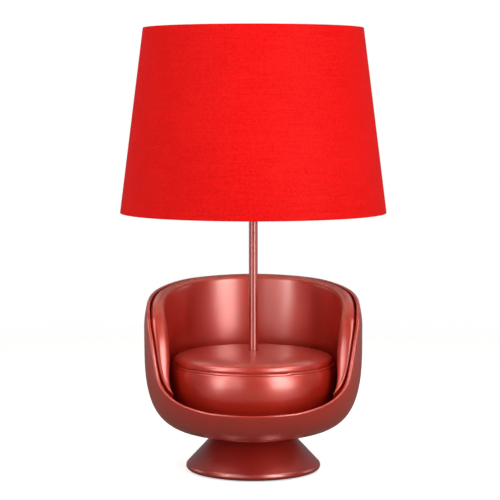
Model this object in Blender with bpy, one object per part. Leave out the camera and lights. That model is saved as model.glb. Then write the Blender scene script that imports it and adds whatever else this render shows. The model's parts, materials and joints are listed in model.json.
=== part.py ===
"""Table lamp: a fabric drum shade on a slim stem that rises out of a small tub armchair.

Metres, +Z up. The origin is on the table, on the axis that the pedestal, the chair, the stem,
the lampholder and the shade share. The chair faces -Y. Angles round the chair are measured from
its front (-Y), 0 at the front and 180 at the back.
"""
import math

import bmesh
import bpy
from mathutils import Vector

# ---- driving dimensions -------------------------------------------------------------------
GAP = 0.0003                    # clearance between neighbouring pieces

# pedestal: a hollow truncated cone with a rounded foot
FOOT_R = 0.0762
FOOT_TOP_Z = 0.0072
PEDESTAL_TOP_R = 0.0455
DECK_TOP_Z = 0.0402
DECK_THICKNESS = 0.0035
FELT_THICKNESS = 0.0015
COVER_R = 0.0693
COVER_BOTTOM_Z = FELT_THICKNESS + GAP
COVER_TOP_Z = 0.0038
SCREW_CIRCLE_R = 0.0550
SCREW_COUNT = 3
SCREW_START = 33.0              # degrees from +X to the first screw
GLAND_Z = 0.0120

# chair shell: a bowl of revolution, cut off by a rim that drops steeply on either side
SHELL_R = 0.1236
SHELL_WAIST_Z = 0.1648          # height of the widest circle
BELLY_DEPTH = 0.1225
BELLY_POWER_Z = 3.61
BELLY_POWER_R = 4.79
TOP_TAPER = 0.0062              # how far the wall leans in above the waist
TOP_TAPER_HEIGHT = 0.0480
SHELL_WALL = 0.0040
SHELL_FLOOR_R = 0.0450
SHELL_BOTTOM_Z = 0.0424
SEAM_RING_R = 0.0545
SEAM_RING_THICKNESS = 0.0015
RIM = (                         # degrees from the front, height of the rim
    (0, 0.0805), (22, 0.0817), (35, 0.0855), (42, 0.0885), (49.5, 0.0940), (54, 0.0992),
    (57.5, 0.1050), (60, 0.1120), (62, 0.1230), (64, 0.1360), (66.5, 0.1490), (70, 0.1625),
    (75, 0.1770), (82, 0.1860), (90, 0.1930), (110, 0.2020), (145, 0.2100), (180, 0.2120),
)

# back and arm pad, the C-shaped roll that lines the shell
LINER_INNER_R = 0.1025
LINER_BOTTOM_Z = 0.0800
LINER_START = 53.5              # degrees from the front where the pad begins
LINER_SET_BACK = 0.0026         # distance of its edge inside the shell's rim
LINER_ROLL = 0.0075             # radius of the rolled edge
LINER_CLEARANCE = 0.0018        # dark gap between pad and shell

# seat
BOARD_R = 0.0980
BOARD_BOTTOM_Z = 0.0620
BOARD_TOP_Z = 0.0660
CUSHION_R = 0.0938
PIPING_Z = 0.1208
PIPING_R = 0.0898
PIPING_THICKNESS = 0.0021
CUSHION_TOP_R = 0.0892          # radius of the rounded shoulder over the piping
SHOULDER_Z = 0.1240
CUSHION_CROWN_Z = 0.1362
CROWN_POWER_R = 2.6
CROWN_POWER_Z = 3.5

# stem: lamp tube with a 10 mm thread
STEM_R = 0.0050
STEM_BORE_R = 0.0040
STEM_BOTTOM_Z = 0.0290
STEM_TOP_Z = 0.3030
STEM_HOLE_R = STEM_R + GAP

# lampholder with a 27 mm Edison thread
SWITCH_Z = 0.3095
INSERT_TOP_Z = 0.3215
FITTER_BOTTOM_Z = 0.3218
FITTER_TOP_Z = 0.3230
HOLDER_TOP_Z = 0.3500
THREAD_SHELL_R = 0.0145

# shade: a tapered drum
SHADE_BOTTOM_R = 0.1500
SHADE_TOP_R = 0.1235
SHADE_BOTTOM_Z = 0.2927
SHADE_TOP_Z = 0.4996
SHADE_THICKNESS = 0.0010
WIRE_R = 0.0015
ARM_R = 0.0014
ARM_COUNT = 3

FINE, MEDIUM, COARSE, TINY = 48, 32, 24, 12      # segments round a turned piece


# ---- scene and materials ------------------------------------------------------------------
def clear_scene():
    for obj in list(bpy.data.objects):
        bpy.data.objects.remove(obj, do_unlink=True)


def material(name, color, roughness, metallic=0.0, transmission=0.0):
    """A Principled material; color is linear red, green, blue."""
    mat = bpy.data.materials.new(name)
    mat.use_nodes = True
    shader = mat.node_tree.nodes["Principled BSDF"]
    shader.inputs["Base Color"].default_value = (*color, 1.0)
    shader.inputs["Roughness"].default_value = roughness
    shader.inputs["Metallic"].default_value = metallic
    shader.inputs["Transmission Weight"].default_value = transmission
    mat.diffuse_color = (*color, 1.0)
    return mat


# ---- mesh helpers -------------------------------------------------------------------------
def add_object(name, bm, mat, origin=(0, 0, 0), sharp_degrees=35):
    """Turn a bmesh drawn in world coordinates into an object whose origin is given."""
    bmesh.ops.recalc_face_normals(bm, faces=bm.faces)
    bmesh.ops.translate(bm, verts=bm.verts, vec=-Vector(origin))
    mesh = bpy.data.meshes.new(name)
    bm.to_mesh(mesh)
    bm.free()
    mesh.shade_smooth()
    mesh.set_sharp_from_angle(angle=math.radians(sharp_degrees))
    if mat is not None:
        mesh.materials.append(mat)
    obj = bpy.data.objects.new(name, mesh)
    obj.location = origin
    bpy.context.scene.collection.objects.link(obj)
    return obj


def skin(bm, rows, closed_rows, closed_columns=True):
    """Quads between neighbouring rows of vertices; a row of one vertex is a pole."""
    pairs = list(zip(rows, rows[1:]))
    if closed_rows:
        pairs.append((rows[-1], rows[0]))
    for low, high in pairs:
        count = max(len(low), len(high))
        for k in range(count if closed_columns else count - 1):
            n = (k + 1) % count
            corners = [low[k % len(low)], low[n % len(low)], high[n % len(high)], high[k % len(high)]]
            unique = list(dict.fromkeys(corners))
            if len(unique) > 2:
                bm.faces.new(unique)


def along_z(r, angle, t):
    return Vector((r * math.cos(angle), r * math.sin(angle), t))


def along_x(r, angle, t):
    return Vector((t, r * math.cos(angle), r * math.sin(angle)))


def along_y(r, angle, t):
    return Vector((r * math.sin(angle), t, r * math.cos(angle)))


def turned(profile, segments, place=along_z, centre=(0, 0, 0), radius_factor=None):
    """A bmesh turned from (radius, position) points.

    A profile that starts and ends on the axis is open there; any other profile is a closed ring.
    radius_factor(angle), where given, makes the section other than round.
    """
    bm = bmesh.new()
    centre = Vector(centre)
    rows = []
    for r, t in profile:
        if r == 0:
            rows.append([bm.verts.new(centre + place(0, 0, t))])
            continue
        row = []
        for k in range(segments):
            angle = 2 * math.pi * k / segments
            factor = radius_factor(angle, r) if radius_factor else 1.0
            row.append(bm.verts.new(centre + place(r * factor, angle, t)))
        rows.append(row)
    skin(bm, rows, closed_rows=profile[0][0] != 0)
    return bm


def ring(r_inner, r_outer, z_low, z_high):
    return [(r_inner, z_low), (r_outer, z_low), (r_outer, z_high), (r_inner, z_high)]


def rounded_ring(r_inner, r_outer, z_low, z_high, edge):
    """A ring's section with its two outer corners chamfered."""
    return [
        (r_inner, z_low), (r_outer - edge, z_low), (r_outer, z_low + edge),
        (r_outer, z_high - edge), (r_outer - edge, z_high), (r_inner, z_high),
    ]


def arc(centre_r, centre_z, radius, start_degrees, end_degrees, steps):
    """Points on a circular arc in the (radius, height) plane."""
    points = []
    for k in range(steps + 1):
        angle = math.radians(start_degrees + (end_degrees - start_degrees) * k / steps)
        points.append((centre_r + radius * math.cos(angle), centre_z + radius * math.sin(angle)))
    return points


def boolean(obj, tool, operation):
    """Apply a hidden tool object to obj with a live Boolean modifier."""
    tool.hide_render = True
    tool.display_type = "WIRE"
    modifier = obj.modifiers.new(f"{operation.lower()}_{tool.name}", "BOOLEAN")
    modifier.operation = operation
    modifier.solver = "EXACT"
    modifier.object = tool


def rod_mesh(r, start, end, place, centre):
    """A plain cylinder, used in a cutter or as an added boss."""
    return turned([(0, start), (r, start), (r, end), (0, end)], TINY, place, centre)


def joined_tool(name, pieces):
    """One tool object out of several separate bmeshes."""
    whole = bmesh.new()
    for piece in pieces:
        mesh = bpy.data.meshes.new(name)
        piece.to_mesh(mesh)
        piece.free()
        whole.from_mesh(mesh)
        bpy.data.meshes.remove(mesh)
    return add_object(name, whole, None)


def box_mesh(low, high):
    bm = bmesh.new()
    bmesh.ops.create_cube(bm, size=1.0)
    for v in bm.verts:
        for axis in range(3):
            v.co[axis] = low[axis] if v.co[axis] < 0 else high[axis]
    return bm


def bent_rod(name, route, radius, mat):
    """A round rod or lead along a list of points."""
    data = bpy.data.curves.new(name, "CURVE")
    data.dimensions = "3D"
    data.bevel_depth = radius
    data.bevel_resolution = 2
    data.use_fill_caps = True
    spline = data.splines.new("POLY")
    spline.points.add(len(route) - 1)
    for point, place in zip(spline.points, route):
        point.co = (*place, 1.0)
    data.materials.append(mat)
    obj = bpy.data.objects.new(name, data)
    bpy.context.scene.collection.objects.link(obj)
    return obj


def smooth_route(points, steps):
    """A Catmull-Rom curve through the points, with so many steps in each stretch."""
    route = []
    for i in range(len(points) - 1):
        before = Vector(points[max(i - 1, 0)])
        a, b = Vector(points[i]), Vector(points[i + 1])
        after = Vector(points[min(i + 2, len(points) - 1)])
        for k in range(steps):
            t = k / steps
            bend = (b - before) * 0.5
            exit_bend = (after - a) * 0.5
            cubic = 2 * t**3 - 3 * t**2 + 1, t**3 - 2 * t**2 + t, -2 * t**3 + 3 * t**2, t**3 - t**2
            route.append(a * cubic[0] + bend * cubic[1] + b * cubic[2] + exit_bend * cubic[3])
    route.append(Vector(points[-1]))
    return route


def hex_factor(angle, _radius):
    """Radius of a hexagon in units of its inscribed circle."""
    sixth = math.pi / 3
    return 1 / math.cos((angle + sixth / 2) % sixth - sixth / 2)


def hex_nut(name, across_flats, z_low, z_high, mat):
    outer = across_flats / 2
    return add_object(
        name,
        turned(
            ring(STEM_HOLE_R, outer, z_low, z_high),
            24,
            radius_factor=lambda angle, r: hex_factor(angle, r) if r == outer else 1.0,
        ),
        mat,
    )


# ---- base ---------------------------------------------------------------------------------
def flank_radius(z):
    """Radius of the pedestal's straight flank."""
    slope = (FOOT_R - PEDESTAL_TOP_R) / (DECK_TOP_Z - FOOT_TOP_Z)
    return PEDESTAL_TOP_R + slope * (DECK_TOP_Z - z)


def make_base(paint, steel, iron, felt, rubber):
    add_object("felt_pad", turned([(0, 0), (0.0690, 0), (0.0690, FELT_THICKNESS), (0, FELT_THICKNESS)],
                                  FINE), felt)

    foot = [(0.0700, 0.0010), (0.0722, 0.0010), (0.0747, 0.0018), (0.0760, 0.0034),
            (0.0764, 0.0050), (0.0757, 0.0076)]
    flank = [(flank_radius(z), z) for z in (0.0120, 0.0240)]
    top = [(PEDESTAL_TOP_R + 0.0006, DECK_TOP_Z - 0.0006), (PEDESTAL_TOP_R - 0.0004, DECK_TOP_Z)]
    hollow = [(STEM_HOLE_R, DECK_TOP_Z), (STEM_HOLE_R, DECK_TOP_Z - DECK_THICKNESS),
              (0.0410, DECK_TOP_Z - DECK_THICKNESS), (0.0430, 0.0354), (0.0645, 0.0085),
              (0.0655, 0.0041), (0.0700, 0.0041)]
    pedestal = add_object("pedestal", turned(foot + flank + top + hollow, FINE), paint)

    cover = add_object(
        "base_cover",
        turned([(0, COVER_BOTTOM_Z), (COVER_R, COVER_BOTTOM_Z), (COVER_R, COVER_TOP_Z), (0, COVER_TOP_Z)],
               FINE),
        steel,
    )
    head_r, shank_r = 0.0040, 0.0020
    neck_z = COVER_TOP_Z + 0.0002
    bosses, holes, sinks = [], [], []
    for k in range(SCREW_COUNT):
        angle = math.radians(SCREW_START + 360 / SCREW_COUNT * k)
        centre = (SCREW_CIRCLE_R * math.cos(angle), SCREW_CIRCLE_R * math.sin(angle), 0)
        bosses.append(rod_mesh(0.0048, 0.0046, 0.0196, along_z, centre))
        holes.append(rod_mesh(shank_r + GAP, 0.0030, 0.0151, along_z, centre))
        sink = [(0, COVER_BOTTOM_Z - 0.001), (head_r + 0.0014, COVER_BOTTOM_Z - 0.001),
                (shank_r + GAP, neck_z), (shank_r + GAP, neck_z + 0.001), (0, neck_z + 0.001)]
        sinks.append(turned(sink, TINY, along_z, centre))
        screw = [(0, COVER_BOTTOM_Z + 0.0001), (head_r - 0.0004, COVER_BOTTOM_Z + 0.0001),
                 (shank_r - 0.0002, neck_z), (shank_r - 0.0002, 0.0126), (0, 0.0145)]
        add_object(f"cover_screw_{k + 1}", turned(screw, TINY, along_z, centre), steel)
    bosses.append(rod_mesh(0.0070, 0.0560, 0.0765, along_y, (0, 0, GLAND_Z)))
    holes.append(rod_mesh(0.0048, 0.0500, 0.0800, along_y, (0, 0, GLAND_Z)))
    boolean(pedestal, joined_tool("pedestal_bosses", bosses), "UNION")
    boolean(pedestal, joined_tool("pedestal_holes", holes), "DIFFERENCE")
    boolean(cover, joined_tool("cover_countersinks", sinks), "DIFFERENCE")

    gland = [(0.0033, 0.0528), (0.0050, 0.0528), (0.0056, 0.0557), (0.0045, 0.0557), (0.0045, 0.0768),
             (0.0068, 0.0768), (0.0068, 0.0781), (0.0060, 0.0789), (0.0040, 0.0789), (0.0033, 0.0781)]
    add_object("cord_gland", turned(gland, 24, along_y, (0, 0, GLAND_Z)), rubber)

    ballast = add_object(
        "ballast_weight", turned(rounded_ring(0.0160, 0.0460, 0.0041, 0.0205, 0.0010), 48), iron)
    notch = add_object("ballast_notch", box_mesh((-0.0115, 0.0060, 0.0), (0.0115, 0.0600, 0.03)), None)
    boolean(ballast, notch, "DIFFERENCE")

    under_deck = DECK_TOP_Z - DECK_THICKNESS
    add_object("base_washer", turned(ring(STEM_HOLE_R, 0.0095, under_deck - 0.0015, under_deck - GAP), 24),
               steel)
    hex_nut("base_locknut", 0.0140, under_deck - 0.0058, under_deck - 0.0018, steel)


def make_wiring(plastic, brown, blue):
    """A two-way terminal block in the pedestal and the two leads that climb the stem."""
    block = add_object("terminal_block", box_mesh((-0.0090, 0.0280, 0.0041), (0.0090, 0.0420, 0.0151)),
                       plastic)
    edge = block.modifiers.new("soft_edges", "BEVEL")
    edge.width = 0.0008
    edge.segments = 2
    entries = [rod_mesh(0.0016, 0.0200, 0.0500, along_y, (x, 0, 0.0100)) for x in (-0.0042, 0.0042)]
    boolean(block, joined_tool("terminal_entries", entries), "DIFFERENCE")
    for side, name, mat in ((-1, "lead_live", brown), (1, "lead_neutral", blue)):
        stem_x = side * 0.0019
        bend = [(side * 0.0042, 0.0330, 0.0100), (side * 0.0042, 0.0230, 0.0102),
                (side * 0.0038, 0.0120, 0.0126), (side * 0.0026, 0.0035, 0.0195),
                (stem_x, 0.0, 0.0290)]
        rise = [Vector((stem_x, 0, 0.2980)), Vector((side * 0.0022, 0, 0.3015)),
                Vector((side * 0.0032, 0, 0.3052))]
        bent_rod(name, smooth_route(bend, 3) + rise, 0.0011, mat)


# ---- chair --------------------------------------------------------------------------------
def smoothstep(t):
    t = min(max(t, 0.0), 1.0)
    return t * t * (3 - 2 * t)


def shell_radius(z):
    """Outer radius of the chair's shell at a height."""
    if z >= SHELL_WAIST_Z:
        return SHELL_R - TOP_TAPER * smoothstep((z - SHELL_WAIST_Z) / TOP_TAPER_HEIGHT)
    depth = min((SHELL_WAIST_Z - z) / BELLY_DEPTH, 1.0)
    return SHELL_R * (1 - depth**BELLY_POWER_Z) ** (1 / BELLY_POWER_R)


def shell_slope(z):
    """How fast the outer radius grows with height."""
    step = 0.0002
    return (shell_radius(z + step) - shell_radius(z - step)) / (2 * step)


def shell_inner_radius(z):
    return shell_radius(z) - SHELL_WALL * math.hypot(1, shell_slope(z))


def rim_height(degrees):
    """Height of the shell's rim: a smooth curve through RIM that never overshoots."""
    degrees = abs((degrees + 180) % 360 - 180)
    i = max(k for k in range(len(RIM) - 1) if RIM[k][0] <= degrees or k == 0)

    def grade(k):
        if k < 0 or k >= len(RIM) - 1:
            return 0.0
        return (RIM[k + 1][1] - RIM[k][1]) / (RIM[k + 1][0] - RIM[k][0])

    def tangent(k):
        left, right = grade(k - 1), grade(k)
        return 2 * left * right / (left + right) if left * right > 0 else 0.0

    (a, low), (b, high) = RIM[i], RIM[i + 1]
    width = b - a
    t = (degrees - a) / width
    return ((2 * t**3 - 3 * t**2 + 1) * low + (t**3 - 2 * t**2 + t) * width * tangent(i)
            + (3 * t**2 - 2 * t**3) * high + (t**3 - t**2) * width * tangent(i + 1))


def even_rim_angles(count, start=0.0):
    """Angles from start to 180 degrees whose points are evenly spaced along the rim."""
    fine = [start + (180 - start) * k / 720 for k in range(721)]
    reach = [0.0]
    for a, b in zip(fine, fine[1:]):
        run = SHELL_R * math.radians(b - a)
        reach.append(reach[-1] + math.hypot(run, rim_height(b) - rim_height(a)))
    angles, k = [], 0
    for i in range(count + 1):
        target = reach[-1] * i / count
        while k < len(reach) - 2 and reach[k + 1] < target:
            k += 1
        share = (target - reach[k]) / (reach[k + 1] - reach[k])
        angles.append(fine[k] + share * (fine[k + 1] - fine[k]))
    return angles


def chair_point(degrees, r, z):
    """A point round the chair, 0 degrees at the front."""
    angle = math.radians(degrees)
    return Vector((r * math.sin(angle), -r * math.cos(angle), z))


def shell_section(height):
    """The shell's wall at one angle, from the stem hole out, up to the rim and back down."""
    rows = 11
    lip = SHELL_WALL / 2
    start = SHELL_BOTTOM_Z + 0.0004
    outer = [(STEM_HOLE_R, SHELL_BOTTOM_Z), (0.0270, SHELL_BOTTOM_Z), (SHELL_FLOOR_R, SHELL_BOTTOM_Z)]
    inner = [(r, z + SHELL_WALL) for r, z in outer]
    for k in range(rows + 1):
        z = start + (height - lip - start) * (k / rows) ** 2
        r, slope = shell_radius(z), shell_slope(z)
        length = math.hypot(1, slope)
        outer.append((r, z))
        inner.append((r - SHELL_WALL / length, z + SHELL_WALL * slope / length))
    top_r = (outer[-1][0] + inner[-1][0]) / 2
    edge = [(top_r + lip * 0.75, height - lip * 0.34), (top_r, height), (top_r - lip * 0.75, height - lip * 0.34)]
    return outer + edge + inner[::-1]


def make_shell(paint):
    half = even_rim_angles(27)
    angles = half + [360 - a for a in half[-2:0:-1]]
    bm = bmesh.new()
    columns = []
    for degrees in angles:
        section = shell_section(rim_height(degrees))
        columns.append([bm.verts.new(chair_point(degrees, r, z)) for r, z in section])
    skin(bm, columns, closed_rows=True)
    add_object("tub_shell", bm, paint)


def liner_edge(count):
    """The pad's edge on the unrolled shell: (distance round, height, inward normal)."""
    angles = even_rim_angles(count, LINER_START)
    flat = [(SHELL_R * math.radians(a), rim_height(a)) for a in angles]
    edge = []
    for i, (s, z) in enumerate(flat):
        before, after = flat[max(i - 1, 0)], flat[min(i + 1, len(flat) - 1)]
        run, rise = after[0] - before[0], after[1] - before[1]
        length = math.hypot(run, rise)
        normal = (rise / length, -run / length)
        if i == len(flat) - 1:
            normal = (0.0, -1.0)
        edge.append((s + LINER_SET_BACK * normal[0], z + LINER_SET_BACK * normal[1], normal))
    return edge


def liner_section(s, z, normal):
    """One section through the pad: up its outer face, over the roll and down its inner face."""
    def point(distance, swing):
        place_s = s + distance * normal[0]
        place_z = max(z + distance * normal[1], LINER_BOTTOM_Z + 0.0030)
        return place_s, place_z, swing

    roll = []
    for k in range(7):
        angle = math.radians(30 * k)
        roll.append(point(LINER_ROLL * (1 - math.sin(angle)), math.cos(angle)))
    low_s, low_z = roll[0][0], roll[0][1]
    outer = [(low_s, LINER_BOTTOM_Z, 0.8), (low_s, LINER_BOTTOM_Z + (low_z - LINER_BOTTOM_Z) * 0.4, 1.0)]
    inner = [(p[0], p[1], -p[2]) for p in outer[::-1]]
    points = []
    for place_s, place_z, swing in outer + roll + inner:
        outer_r = shell_inner_radius(place_z) - LINER_CLEARANCE
        middle, half = (outer_r + LINER_INNER_R) / 2, (outer_r - LINER_INNER_R) / 2
        points.append((math.degrees(place_s / SHELL_R), middle + half * swing, place_z))
    return points


def make_liner(paint):
    sections = [liner_section(*place) for place in liner_edge(24)]
    mirrored = [[(-degrees, r, z) for degrees, r, z in section] for section in sections[-2::-1]]
    bm = bmesh.new()
    columns = []
    for section in sections + mirrored:
        columns.append([bm.verts.new(chair_point(*place)) for place in section])
    skin(bm, columns, closed_rows=False)
    bm.faces.new(columns[0])
    bm.faces.new(columns[-1])
    add_object("back_liner", bm, paint)


def crown_height(r):
    """Height of the cushion's top, nearly flat and rounded over at the shoulder."""
    share = min(r / CUSHION_TOP_R, 1.0)
    rise = (1 - share**CROWN_POWER_R) ** (1 / CROWN_POWER_Z)
    return SHOULDER_Z + (CUSHION_CROWN_Z - SHOULDER_Z) * rise


def make_seat(paint, board, steel):
    add_object("seat_board", turned(ring(STEM_HOLE_R, BOARD_R, BOARD_BOTTOM_Z, BOARD_TOP_Z), FINE), board)

    bottom = BOARD_TOP_Z + GAP
    side = [(0.0800, bottom), (0.0870, 0.0712), (0.0915, 0.0800), (CUSHION_R, 0.0935),
            (0.0934, 0.1060), (0.0908, 0.1160)]
    bead = arc(PIPING_R, PIPING_Z, PIPING_THICKNESS, -45, 165, 5)
    groove = [(PIPING_R - 0.0020, SHOULDER_Z - 0.0012)]
    crown = []
    for degrees in (90, 80, 68, 52, 30, 0):
        r = STEM_HOLE_R + (CUSHION_TOP_R - STEM_HOLE_R) * math.sin(math.radians(degrees))
        crown.append((r, crown_height(r)))
    hollow = [(STEM_HOLE_R, CUSHION_CROWN_Z - 0.0050), (0.0500, 0.1260), (0.0830, 0.1140),
              (0.0885, 0.0980), (0.0855, 0.0810), (0.0750, bottom)]
    add_object("seat_cushion", turned(side + bead + groove + crown + hollow, FINE), paint)

    floor_z = SHELL_BOTTOM_Z + SHELL_WALL
    add_object("seam_ring", turned(ring(STEM_HOLE_R, SEAM_RING_R, DECK_TOP_Z + GAP, DECK_TOP_Z + GAP + SEAM_RING_THICKNESS), FINE),
               paint)
    add_object("shell_washer", turned(ring(STEM_HOLE_R, 0.0130, floor_z + GAP, floor_z + 0.0018), 24), steel)
    hex_nut("shell_locknut", 0.0140, floor_z + 0.0021, floor_z + 0.0061, steel)


# ---- stem, lampholder and bulb ------------------------------------------------------------
def make_stem(paint):
    add_object("stem_tube", turned(ring(STEM_BORE_R, STEM_R, STEM_BOTTOM_Z, STEM_TOP_Z), 24), paint)


def make_lampholder(plastic, ceramic, brass, steel):
    cap = add_object(
        "holder_cap",
        turned([(STEM_HOLE_R, 0.2960), (0.0078, 0.2960), (0.0084, 0.2966), (0.0084, 0.3012),
                (0.0160, 0.3026), (0.0185, 0.3052), (0.0185, 0.3140), (0.0165, 0.3140),
                (0.0165, 0.3064), (0.0150, 0.3050), (STEM_HOLE_R, 0.3038)], COARSE),
        plastic,
    )
    cap_holes = [rod_mesh(0.0017, 0.0040, 0.0100, along_y, (0, 0, 0.2988)),
                 rod_mesh(0.0024, 0.0120, 0.0240, along_x, (0, 0, SWITCH_Z))]
    boolean(cap, joined_tool("cap_holes", cap_holes), "DIFFERENCE")
    lock = [(0, 0.0054), (0.0009, 0.0054), (0.0014, 0.0060), (0.0014, 0.0088), (0, 0.0088)]
    add_object("holder_lock_screw", turned(lock, TINY, along_y, (0, 0, 0.2988)), steel)

    skirt = [(0.0165, 0.3143), (0.0195, 0.3143), (0.0195, 0.3200), (0.0235, 0.3200), (0.0235, 0.3215),
             (0.0195, 0.3215), (0.0195, 0.3490), (0.0188, HOLDER_TOP_Z), (0.0172, HOLDER_TOP_Z),
             (0.0165, 0.3490)]
    add_object("holder_skirt", turned(skirt, MEDIUM), plastic)
    insert = [(0, 0.3055), (0.0130, 0.3055), (0.0155, 0.3070), (0.0155, INSERT_TOP_Z), (0, INSERT_TOP_Z)]
    add_object("holder_insert", turned(insert, COARSE), ceramic)
    add_object("screw_shell", turned(ring(0.0137, THREAD_SHELL_R, INSERT_TOP_Z + GAP, 0.3480), COARSE), brass)
    contact = [(0, INSERT_TOP_Z + GAP), (0.0034, INSERT_TOP_Z + GAP), (0.0034, 0.3228), (0.0024, 0.3239),
               (0, 0.3239)]
    add_object("centre_contact", turned(contact, TINY), brass)

    knob = [(0, 0), (0.0020, 0), (0.0020, 0.0041), (0.0050, 0.0041), (0.0058, 0.0050), (0.0058, 0.0115),
            (0.0048, 0.0128), (0, 0.0128)]
    start_x = 0.0159
    rib = [(r, t + start_x) for r, t in knob]

    def fluted(angle, r):
        return 1 - 0.09 * (0.5 + 0.5 * math.cos(8 * angle)) if r > 0.0045 else 1.0

    add_object("switch_knob", turned(rib, 32, along_x, (0, 0, SWITCH_Z), fluted), plastic,
               origin=(start_x, 0, SWITCH_Z))


def make_bulb(cap_metal, glass, brass):
    tip = [(0, 0.3242), (0.0030, 0.3244), (0.0048, 0.3254), (0.0048, 0.3262), (0, 0.3262)]
    add_object("bulb_contact", turned(tip, TINY), brass)
    cap = [(0.0055, 0.3265), (0.0092, 0.3265), (0.0131, 0.3300), (0.0131, 0.3492), (0.0127, HOLDER_TOP_Z),
           (0.0121, HOLDER_TOP_Z), (0.0121, 0.3305), (0.0088, 0.3275), (0.0055, 0.3275)]
    add_object("bulb_cap", turned(cap, COARSE), cap_metal)

    wall = 0.0010
    neck = [(0.0117, 0.3420), (0.0117, 0.3506), (0.0136, 0.3525), (0.0160, 0.3590), (0.0205, 0.3700)]
    belly_r, belly_z = 0.0300, 0.4040
    belly = arc(0.0, belly_z, belly_r, -40, 78, 7)
    outer = neck + belly
    inner = [(r - wall, z) for r, z in neck] + arc(0.0, belly_z, belly_r - wall, -40, 78, 7)
    profile = [(0, belly_z + belly_r)] + outer[::-1] + inner + [(0, belly_z + belly_r - wall)]
    add_object("bulb_glass", turned(profile, COARSE), glass)


# ---- shade --------------------------------------------------------------------------------
def shade_radius(z):
    """Outer radius of the shade at a height."""
    share = (z - SHADE_BOTTOM_Z) / (SHADE_TOP_Z - SHADE_BOTTOM_Z)
    return SHADE_BOTTOM_R + (SHADE_TOP_R - SHADE_BOTTOM_R) * share


def wire_ring(name, z, mat):
    """A hoop of wire just inside the shade."""
    middle_r = shade_radius(z) - SHADE_THICKNESS - GAP - WIRE_R - 0.0001
    section = arc(middle_r, z, WIRE_R, 0, 300, 5)
    add_object(name, turned(section, FINE), mat)
    return middle_r


def make_shade(fabric, wire, plastic):
    panel = [(SHADE_BOTTOM_R - SHADE_THICKNESS, SHADE_BOTTOM_Z), (SHADE_BOTTOM_R, SHADE_BOTTOM_Z),
             (SHADE_TOP_R, SHADE_TOP_Z), (SHADE_TOP_R - SHADE_THICKNESS, SHADE_TOP_Z)]
    add_object("shade_panel", turned(panel, 72), fabric)
    hem = WIRE_R + 0.0004
    wire_ring("shade_top_wire", SHADE_TOP_Z - hem, wire)
    hoop_r = wire_ring("shade_bottom_wire", SHADE_BOTTOM_Z + hem, wire)

    ring_r = 0.0265
    add_object("fitter_ring", turned(ring(0.0200, ring_r, FITTER_BOTTOM_Z, FITTER_TOP_Z), MEDIUM), wire)
    level = (FITTER_BOTTOM_Z + FITTER_TOP_Z) / 2
    path = [(ring_r + GAP + 0.0001, level), (0.0440, level), (0.0500, level - 0.0006),
            (0.0560, level - 0.0022), (hoop_r - 0.0090, SHADE_BOTTOM_Z + 0.0052),
            (hoop_r - 0.0032, SHADE_BOTTOM_Z + 0.0034)]
    for k in range(ARM_COUNT):
        angle = math.radians(90 + 360 / ARM_COUNT * k)
        route = [Vector((r * math.cos(angle), r * math.sin(angle), z)) for r, z in path]
        bent_rod(f"spider_arm_{k + 1}", route, ARM_R, wire)

    add_object("clamp_ring", turned(rounded_ring(0.0198, 0.0250, FITTER_TOP_Z + GAP, 0.3300, 0.0008), MEDIUM),
               plastic)


def build():
    clear_scene()
    paint = material("metallic_red_paint", (0.42, 0.045, 0.03), 0.34, 0.75)
    steel = material("zinc_steel", (0.55, 0.55, 0.56), 0.35, 1.0)
    iron = material("raw_iron", (0.09, 0.09, 0.09), 0.7, 0.6)
    felt = material("dark_felt", (0.02, 0.02, 0.02), 0.95)
    rubber = material("dark_rubber", (0.03, 0.012, 0.012), 0.6)
    white_plastic = material("white_plastic", (0.75, 0.74, 0.70), 0.4)
    black_plastic = material("black_plastic", (0.02, 0.02, 0.02), 0.4)
    brown = material("brown_insulation", (0.12, 0.04, 0.015), 0.5)
    blue = material("blue_insulation", (0.02, 0.08, 0.4), 0.5)
    board = material("painted_board", (0.16, 0.02, 0.015), 0.7)
    ceramic = material("white_ceramic", (0.8, 0.79, 0.76), 0.25)
    brass = material("brass", (0.7, 0.48, 0.16), 0.3, 1.0)
    cap_metal = material("bulb_cap_aluminium", (0.7, 0.7, 0.7), 0.35, 1.0)
    glass = material("opal_glass", (0.9, 0.89, 0.86), 0.2, 0.0, 0.2)
    fabric = material("red_shade_fabric", (0.80, 0.005, 0.005), 0.75)
    wire = material("white_wire", (0.75, 0.75, 0.74), 0.4, 0.2)

    make_base(paint, steel, iron, felt, rubber)
    make_wiring(white_plastic, brown, blue)
    make_shell(paint)
    make_liner(paint)
    make_seat(paint, board, steel)
    make_stem(paint)
    make_lampholder(black_plastic, ceramic, brass, steel)
    make_bulb(cap_metal, glass, brass)
    make_shade(fabric, wire, black_plastic)


build()
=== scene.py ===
"""Finished look of the table lamp: paint, cloth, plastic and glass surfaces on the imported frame.

Metres, +Z up, the chair faces -Y. Angles round the chair are measured from its front.
"""
import json
import math

import bmesh
import bpy
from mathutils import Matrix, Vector, noise


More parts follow.
